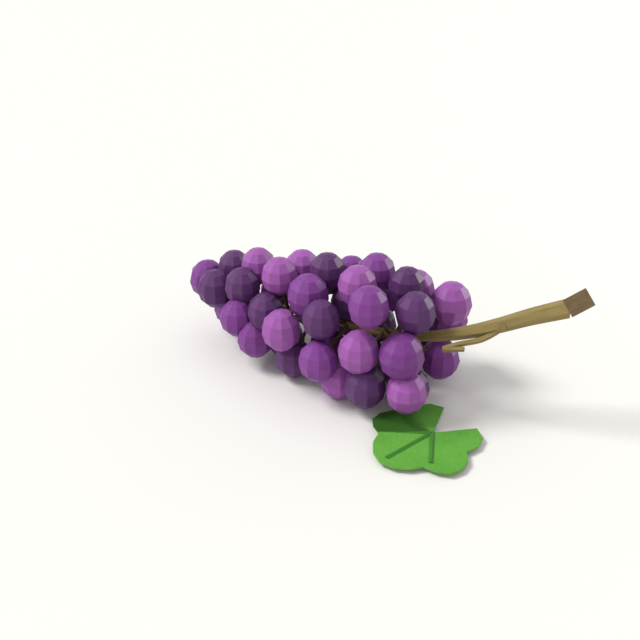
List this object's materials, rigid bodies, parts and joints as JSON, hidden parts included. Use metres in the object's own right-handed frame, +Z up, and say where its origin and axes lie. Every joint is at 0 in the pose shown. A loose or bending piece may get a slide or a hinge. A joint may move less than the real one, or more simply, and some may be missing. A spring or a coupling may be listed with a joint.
{
  "type": "bunch of grapes",
  "caption": "Loose bunch of dark purple table grapes lying on its side, with a rising woody stem, a bare side twig and a lobed green leaf under its shoulder.",
  "frame": {"origin": "on the surface the bunch lies on, under the middle of the whole thing's box", "axes": "+Z up; +X along the bunch, from its tip to the cut end of its stem; +Y to the far side, away from the leaf"},
  "size_m": [0.211, 0.0978, 0.0713],
  "materials": {
    "berry_skin": "satin purple skin with a thin waxy bloom",
    "stem_wood": "dry olive-brown stalk",
    "cut_wood": "darker brown cane",
    "leaf_green": "matt green blade with darker ribs"
  },
  "bodies": {
    "root": {"berries": "berry_skin", "stem": "stem_wood", "cut_end": "cut_wood", "leaf": "leaf_green"}
  },
  "joints": []
}
